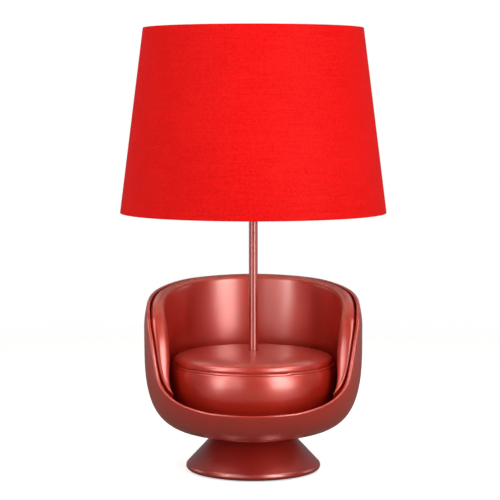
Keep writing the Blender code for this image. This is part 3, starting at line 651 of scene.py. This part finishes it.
def shell_section(degrees):
    """The shell's wall at one angle, out along the floor, up to a round lip and back down."""
    rows, lip_steps = 46, 14
    height = rim_height(degrees)
    reach = SHELL_WALL / 2 * rim_steepness(degrees)
    start = SHELL_BOTTOM_Z + 0.0004
    floor = [(STEM_HOLE_R, SHELL_BOTTOM_Z), (0.0200, SHELL_BOTTOM_Z), (0.0360, SHELL_BOTTOM_Z),
             (SHELL_FLOOR_R, SHELL_BOTTOM_Z)]
    outer, inner = list(floor), [(r, z + SHELL_WALL) for r, z in floor]
    for k in range(rows + 1):
        z = start + (height - reach - start) * (k / rows) ** 1.8
        r, slope = shell_radius(z), shell_slope(z)
        length = math.hypot(1, slope)
        outer.append((r, z))
        inner.append((r - SHELL_WALL / length, z + SHELL_WALL * slope / length))
    lip = []
    for k in range(1, lip_steps):
        across, up = squarish(math.pi * k / lip_steps, LIP_POWER)
        z = height - reach * (1 - up)
        r_out, r_in = shell_radius(z), shell_inner_radius(z)
        lip.append(((r_out + r_in) / 2 + (r_out - r_in) / 2 * across, z))
    return outer + lip + inner[::-1]


def make_shell(mats):
    half = even_rim_angles(170)
    angles = half + [360 - a for a in half[-2:0:-1]]
    bm = bmesh.new()
    columns = []
    for degrees in angles:
        columns.append([bm.verts.new(chair_point(degrees, r, z)) for r, z in shell_section(degrees)])
    skin(bm, columns, closed_rows=True)
    hammer(bm, SHELL_UNEVEN, 0.045)
    add_piece("chair_shell", bm, mats["chair_paint"], "lamp", ["tub_shell"])


def between_arm_and_back(degrees, arm, back):
    """A measure that changes smoothly from the arms to the back."""
    return arm + (back - arm) * smoothstep((abs(degrees) - ARM_END) / (BACK_START - ARM_END))


def liner_edge(count):
    """The pad's edge on the unrolled shell: (distance round, height, inward normal)."""
    angles = even_rim_angles(count, LINER_START)
    flat = [(SHELL_R * math.radians(a), rim_height(a)) for a in angles]
    edge = []
    for i, (s, z) in enumerate(flat):
        before, after = flat[max(i - 3, 0)], flat[min(i + 3, len(flat) - 1)]
        run, rise = after[0] - before[0], after[1] - before[1]
        length = math.hypot(run, rise)
        normal = (rise / length, -run / length) if i < len(flat) - 1 else (0.0, -1.0)
        set_back = between_arm_and_back(angles[i], ARM_SET_BACK, BACK_SET_BACK)
        edge.append((s + set_back * normal[0], z + set_back * normal[1], normal))
    return edge


def liner_inner_radius(z):
    return LINER_INNER_R - PAD_LEAN * smoothstep((z - LEAN_START_Z) / LEAN_HEIGHT)


def liner_section(s, z, normal, fullness):
    """One section through the pad: up its outer face, over the roll and down its inner face."""
    def point(distance, swing):
        return s + distance * normal[0], max(z + distance * normal[1], LINER_BOTTOM_Z + 0.0030), swing

    steps = 24
    roll = []
    for k in range(steps + 1):
        across, up = squarish(math.pi * k / steps, ROLL_POWER)
        roll.append(point(LINER_ROLL * (1 - up), across))
    low_s, low_z = roll[0][0], roll[0][1]
    side = []
    for k in range(12):
        side.append((low_s, LINER_BOTTOM_Z + (low_z - LINER_BOTTOM_Z) * k / 12, 0.8 if k == 0 else 1.0))
    points = []
    for place_s, place_z, swing in side + roll + [(p[0], p[1], -p[2]) for p in side[::-1]]:
        degrees = math.degrees(place_s / SHELL_R)
        outer_r = shell_inner_radius(place_z) - between_arm_and_back(degrees, ARM_CLEARANCE, BACK_CLEARANCE)
        inner_r = liner_inner_radius(place_z)
        middle, half = (outer_r + inner_r) / 2, (outer_r - inner_r) / 2
        points.append((degrees, middle + half * swing * fullness, place_z))
    return points


def make_liner(mats):
    edge = liner_edge(150)
    sections = []
    for i, place in enumerate(edge):
        share = min(i / LINER_TAPER, 1.0)
        sections.append(liner_section(*place, 0.06 + 0.94 * math.sin(share * math.pi / 2)))
    mirrored = [[(-degrees, r, z) for degrees, r, z in section] for section in sections[-2::-1]]
    bm = bmesh.new()
    columns = []
    for section in sections + mirrored:
        columns.append([bm.verts.new(chair_point(*place)) for place in section])
    skin(bm, columns, closed_rows=False)
    bm.faces.new(columns[0])
    bm.faces.new(columns[-1])
    hammer(bm, PAD_UNEVEN, 0.046)
    add_piece("arm_and_back_pad", bm, mats["chair_paint"], "lamp", ["back_liner"])


def crown_height(r):
    """Height of the cushion's top, nearly flat and rounded over at the shoulder."""
    share = min(r / CUSHION_TOP_R, 1.0)
    rise = (1 - share**CROWN_POWER_R) ** (1 / CROWN_POWER_Z)
    return SHOULDER_Z + (CUSHION_CROWN_Z - SHOULDER_Z) * rise


def make_cushion(mats):
    bottom = BOARD_TOP_Z + 0.0003
    side = curve_through([(0.0790, bottom), (0.0850, 0.0712), (0.0896, 0.0800), (0.0928, 0.0925),
                          (CUSHION_R, 0.1040), (0.0933, 0.1130), (0.0919, 0.1184),
                          (0.0905, PIPING_Z - 0.0004)], 8)
    groove = [(0.0886, PIPING_Z - 0.0002), (0.0886, PIPING_Z + 0.0009), (0.0898, PIPING_Z + 0.0016)]
    crown = []
    for k in range(48):
        r = STEM_HOLE_R + (CUSHION_TOP_R - STEM_HOLE_R) * math.cos(math.pi / 2 * k / 47)
        crown.append((r, crown_height(r)))
    hollow = [(STEM_HOLE_R, CUSHION_CROWN_Z - 0.0050), (0.0500, 0.1260), (0.0830, 0.1140), (0.0885, 0.0980),
              (0.0855, 0.0810), (0.0750, bottom)]
    bm = turned([tuple(p) for p in side] + groove + crown + hollow, 256)
    hammer(bm, CUSHION_UNEVEN, 0.030)
    for v in bm.verts:
        if v.co.z > 0.117:
            v.co.z += CROWN_UNEVEN * noise.noise(v.co / 0.026)
    add_piece("cushion_casting", bm, mats["chair_paint"], "lamp", ["seat_cushion"])

    bm = bmesh.new()
    rows, count, sides = [], 360, 14
    for k in range(count):
        angle = 2 * math.pi * k / count
        away = (angle - math.radians(PIPING_JOINT) + math.pi) % (2 * math.pi) - math.pi
        knot = math.exp(-((away / 0.030) ** 2))
        thick = PIPING_THICKNESS * (1 + 0.14 * knot)
        wave = 0.00025 * noise.noise(Vector((math.cos(angle), math.sin(angle), 0)) * 5)
        lift = 0.00045 * math.tanh(away / 0.02) * math.exp(-((away / 0.16) ** 2))
        row = []
        for n in range(sides):
            swing = 2 * math.pi * n / sides
            r = PIPING_R - 0.0002 + wave + thick * math.cos(swing)
            z = PIPING_Z + lift + thick * math.sin(swing)
            row.append(bm.verts.new(chair_point(math.degrees(angle), r, z)))
        rows.append(row)
    skin(bm, rows, closed_rows=True)
    add_piece("cushion_piping", bm, mats["chair_paint"], "lamp")


# ---- stem, lampholder and bulb ------------------------------------------------------------
def thread(pitch, depth, low, high, keep_r):
    """A round Edison thread: shape function for turned() on points beyond keep_r."""
    def shape(angle, r, t):
        if r < keep_r or not low <= t <= high:
            return r, t
        fade = smoothstep((t - low) / pitch) * smoothstep((high - t) / pitch)
        wave = 0.5 - 0.5 * math.cos(2 * math.pi * (t / pitch - angle / (2 * math.pi)))
        return r - depth * fade * wave, t
    return shape


def make_stem(mats):
    tube = softened([(STEM_BORE_R, STEM_BOTTOM_Z), (STEM_R, STEM_BOTTOM_Z), (STEM_R, STEM_TOP_Z),
                     (STEM_BORE_R, STEM_TOP_Z)], 0.0005, 3)
    bm = turned(split_long(tube, 0.0060), 64)
    add_piece("stem", bm, mats["metal_paint"], "lamp", ["stem_tube"])


def make_lampholder(mats):
    black = mats["black_plastic"]
    cap = softened([(STEM_HOLE_R, 0.2960), (0.0078, 0.2960), (0.0084, 0.2966), (0.0084, 0.3012),
                    (0.0160, 0.3026), (0.0185, 0.3052), (0.0185, 0.3140), (0.0165, 0.3140),
                    (0.0165, 0.3064), (0.0150, 0.3050), (STEM_HOLE_R, 0.3038)], 0.0009, 4)

    def grip(angle, r, t):
        if r > 0.0182 and 0.3059 < t < 0.3131:
            return r - 0.00022 * (0.5 - 0.5 * math.cos(40 * angle)), t
        return r, t

    cap_mesh = turned(split_long(cap, 0.0009), 320, shape=grip)
    add_piece("holder_cap_moulding", cap_mesh, black, "lamp", ["holder_cap"])

    skirt = softened([(0.0165, 0.3143), (0.0195, 0.3143), (0.0195, 0.3200), (0.0235, 0.3200), (0.0235, 0.3215),
                      (0.0195, 0.3215), (0.0195, 0.3500), (0.0165, 0.3500)], 0.0005, 3)
    bm = turned(split_long(skirt, 0.00045), 96, shape=thread(HOLDER_PITCH, 0.0006, 0.3224, 0.3494, 0.0190))
    add_piece("holder_skirt_moulding", bm, black, "lamp", ["holder_skirt"])

    insert = softened([(0, 0.3055), (0.0130, 0.3055), (0.0155, 0.3070), (0.0155, 0.3215), (0, 0.3215)], 0.0005, 4)
    add_piece("holder_porcelain", turned(insert, 96), mats["porcelain"], "lamp", ["holder_insert"])

    sleeve = [(0.0137, 0.3218), (0.0145, 0.3218), (0.0145, 0.3480), (0.0137, 0.3480)]
    bm = turned(split_long(sleeve, 0.0004), 96, shape=thread(BULB_PITCH, 0.0003, 0.3220, 0.3478, 0.0100))
    add_piece("thread_sleeve", bm, mats["brass"], "lamp", ["screw_shell"])

    spring = softened([(0, 0.3218), (0.0034, 0.3218), (0.0034, 0.3228), (0.0024, 0.3239), (0, 0.3239)], 0.0003, 4)
    add_piece("centre_spring", turned(spring, 48), mats["brass"], "lamp", ["centre_contact"])

    knob = softened([(0, 0), (0.0020, 0), (0.0020, 0.0041), (0.0050, 0.0041), (0.0058, 0.0050),
                     (0.0058, 0.0115), (0.0048, 0.0128), (0, 0.0128)], 0.0004, 4)

    def fluted(angle, r, t):
        return r * (1 - 0.09 * (0.5 + 0.5 * math.cos(8 * angle)) if r > 0.0045 else 1), t + SWITCH_X

    add_piece("switch_knob_moulding", turned(split_long(knob, 0.0008)[:-1], 128, along_x, (0, 0, SWITCH_Z), fluted),
              black, "switch", ["switch_knob"])


def make_bulb(mats):
    tip = [(0, 0.3242), (0.0018, 0.3242), (0.0034, 0.3246), (0.0044, 0.3253), (0.0048, 0.3259), (0.0048, 0.3262),
           (0, 0.3262)]
    add_piece("bulb_tip", turned(tip, 48), mats["brass"], "bulb_carriage", ["bulb_contact"])

    cap = softened([(0.0055, 0.3265), (0.0092, 0.3265), (0.0131, 0.3300), (0.0131, 0.3492), (0.0127, 0.3500),
                    (0.0121, 0.3500), (0.0121, 0.3305), (0.0088, 0.3275), (0.0055, 0.3275)], 0.0004, 3)
    bm = turned(split_long(cap, 0.00045), 96, shape=thread(BULB_PITCH, 0.0007, 0.3302, 0.3470, 0.0126))
    add_piece("bulb_thread", bm, mats["bulb_metal"], "bulb", ["bulb_cap"])

    wall, belly_r, belly_z = 0.0010, 0.0300, 0.4040
    neck = curve_through([(0.0117, 0.3420), (0.0117, 0.3506), (0.0136, 0.3525), (0.0160, 0.3590), (0.0205, 0.3700),
                          arc(0, belly_z, belly_r, -40, -40, 1)[0]], 8)[:-1]
    outer = [tuple(p) for p in neck] + arc(0, belly_z, belly_r, -40, 86, 36)
    inner = [(max(r - wall, 0.0012), z) for r, z in outer]
    profile = [(0, belly_z + belly_r)] + outer[::-1] + inner + [(0, belly_z + belly_r - wall)]
    add_piece("bulb_envelope", turned(profile, 128), mats["opal_glass"], "bulb", ["bulb_glass"])


# ---- shade --------------------------------------------------------------------------------
def shade_radius(z):
    share = (z - SHADE_BOTTOM_Z) / (SHADE_TOP_Z - SHADE_BOTTOM_Z)
    return SHADE_BOTTOM_R + (SHADE_TOP_R - SHADE_BOTTOM_R) * share


def hem_path():
    """Cloth round a hoop, as (distance in from the shade's face, height over its edge)."""
    wrap = WIRE_R + CLOTH + 0.0001
    round_wire = []
    for k in range(8):
        angle = math.radians(10 - 100 * k / 7)
        round_wire.append((HOOP_INSET + wrap * math.cos(angle) * 1.05, HOOP_RISE + wrap * math.sin(angle)))
    tail = curve_through([(0.0013, 0.0120), (0.0014, 0.0090), (0.0026, 0.0062), (0.0044, 0.0040),
                          round_wire[0]], 5)
    quarter = [math.pi / 2 * k / 5 for k in range(6)]
    fold = [(FOLD - FOLD * math.sin(angle), FOLD - FOLD * math.cos(angle)) for angle in quarter]
    front = [(HOOP_INSET, 0.0), (0.0016, 0.0)] + fold + [(0.0, 0.0020), (0.0, 0.0045), (0.0, 0.0080)]
    return [tuple(p) for p in tail] + round_wire[1:-1] + front


def cloth_section():
    """Outline of the shade's cloth as (radius, height): outer face, then the face behind it."""
    bottom = [(shade_radius(SHADE_BOTTOM_Z + h) - d, SHADE_BOTTOM_Z + h) for d, h in hem_path()]
    top = [(shade_radius(SHADE_TOP_Z - h) - d, SHADE_TOP_Z - h) for d, h in hem_path()]
    low_z, high_z = bottom[-1][1], top[-1][1]
    middle = []
    for k in range(1, 30):
        z = low_z + (high_z - low_z) * k / 30
        middle.append((shade_radius(z), z))
    face = bottom + middle + top[::-1]
    back = []
    for i, (r, z) in enumerate(face):
        before, after = Vector(face[max(i - 1, 0)]), Vector(face[min(i + 1, len(face) - 1)])
        along = (after - before).normalized()
        back.append((r - CLOTH * along.y, z + CLOTH * along.x))
    return face + back[::-1]


def make_shade(mats):
    section = cloth_section()
    count = 288
    start, span = 180 - SEAM_LAP / 2, 360 + SEAM_LAP
    bm = bmesh.new()
    columns = []
    for k in range(count + 1):
        degrees = start + span * k / count
        lift = SEAM_LIFT * smoothstep((degrees - start - 356) / 4)
        columns.append([bm.verts.new(chair_point(degrees, r + lift, z)) for r, z in section])
    skin(bm, columns, closed_rows=False)
    bm.faces.new(columns[0])
    bm.faces.new(columns[-1])
    cloth = add_piece("shade_cloth_cover", bm, mats["shade_fabric"], "shade", ["shade_panel"])

    low, high = SHADE_BOTTOM_Z + 0.0040, SHADE_TOP_Z - 0.0040
    faces = [(0.00036, low), (0.00036, high), (0.00086, high), (0.00086, low)]
    liner = split_long([(shade_radius(z) - inset, z) for inset, z in faces], 0.0060)
    lining = add_piece("shade_lining", turned(liner, 288), mats["lining"], "shade")

    for name, node, z in (("hoop_bottom", "shade_bottom_wire", SHADE_BOTTOM_Z + HOOP_RISE),
                          ("hoop_top", "shade_top_wire", SHADE_TOP_Z - HOOP_RISE)):
        section = arc(shade_radius(z) - HOOP_INSET, z, WIRE_R, 0, 330, 11)
        add_piece(name, turned(section, 192), mats["white_wire"], "shade", [node])

    half = FITTER_THICKNESS / 2
    plate = softened([(FITTER_BORE_R, FITTER_LEVEL_Z - half), (FITTER_R, FITTER_LEVEL_Z - half),
                      (FITTER_R, FITTER_LEVEL_Z + half), (FITTER_BORE_R, FITTER_LEVEL_Z + half)], 0.0005, 5)
    add_piece("fitter_washer", turned(plate, 128), mats["white_wire"], "shade", ["fitter_ring"])
    hoop_r = shade_radius(SHADE_BOTTOM_Z + HOOP_RISE) - HOOP_INSET
    path = [(FITTER_R - 0.0010, FITTER_LEVEL_Z), (0.0360, FITTER_LEVEL_Z), (0.0440, FITTER_LEVEL_Z),
            (0.0500, FITTER_LEVEL_Z - 0.0006), (0.0560, FITTER_LEVEL_Z - 0.0022),
            (0.0950, FITTER_LEVEL_Z - 0.0134), (hoop_r - 0.0090, SHADE_BOTTOM_Z + 0.0052),
            (hoop_r - 0.0006, SHADE_BOTTOM_Z + 0.0027)]

    def weld(share):
        return 1 + 0.55 * math.exp(-((share / 0.02) ** 2)) + 0.35 * math.exp(-(((1 - share) / 0.012) ** 2))

    for k in range(ARM_COUNT):
        angle = math.radians(90 + 360 / ARM_COUNT * k)
        route = curve_through([(r * math.cos(angle), r * math.sin(angle), z) for r, z in path], 14)
        add_piece(f"spider_wire_{k + 1}", rod(route, ARM_R, 20, weld), mats["white_wire"], "shade",
                  [f"spider_arm_{k + 1}"])

    ring = softened([(0.0198, 0.3233), (0.0242, 0.3233), (0.0250, 0.3241), (0.0250, 0.3292), (0.0242, 0.3300),
                     (0.0198, 0.3300)], 0.0004, 4)

    def knurled(angle, r, t):
        if r > 0.0243:
            return r - 0.00055 * (0.5 - 0.5 * math.cos(30 * angle)), t
        if r < 0.0201 and 0.3238 < t < 0.3296:
            wave = 0.5 - 0.5 * math.cos(2 * math.pi * (t / HOLDER_PITCH - angle / (2 * math.pi)))
            return r + 0.00025 * wave, t
        return r, t

    add_piece("clamp_ring_moulding", turned(split_long(ring, 0.0005), 360, shape=knurled), mats["black_plastic"],
              "clamp_ring", ["clamp_ring"])


# ---- pieces that keep their CAD mesh ------------------------------------------------------
def finish_cad_nodes(mats):
    """Give each shown CAD node the finish of its slot in the record."""
    for subpart in frame["record"]["subparts"]:
        node = frame["nodes"][subpart["node"]]
        if node.hide_render:
            continue
        node.data.materials.clear()
        node.data.materials.append(mats[subpart["material_slot"]])


def build():
    bpy.context.scene.view_settings.view_transform = "Standard"
    make_camera()
    make_room()
    make_lights()
    mats = make_materials()
    make_base(mats)
    make_shell(mats)
    make_liner(mats)
    make_cushion(mats)
    make_stem(mats)
    make_lampholder(mats)
    make_bulb(mats)
    make_shade(mats)
    finish_cad_nodes(mats)


build()
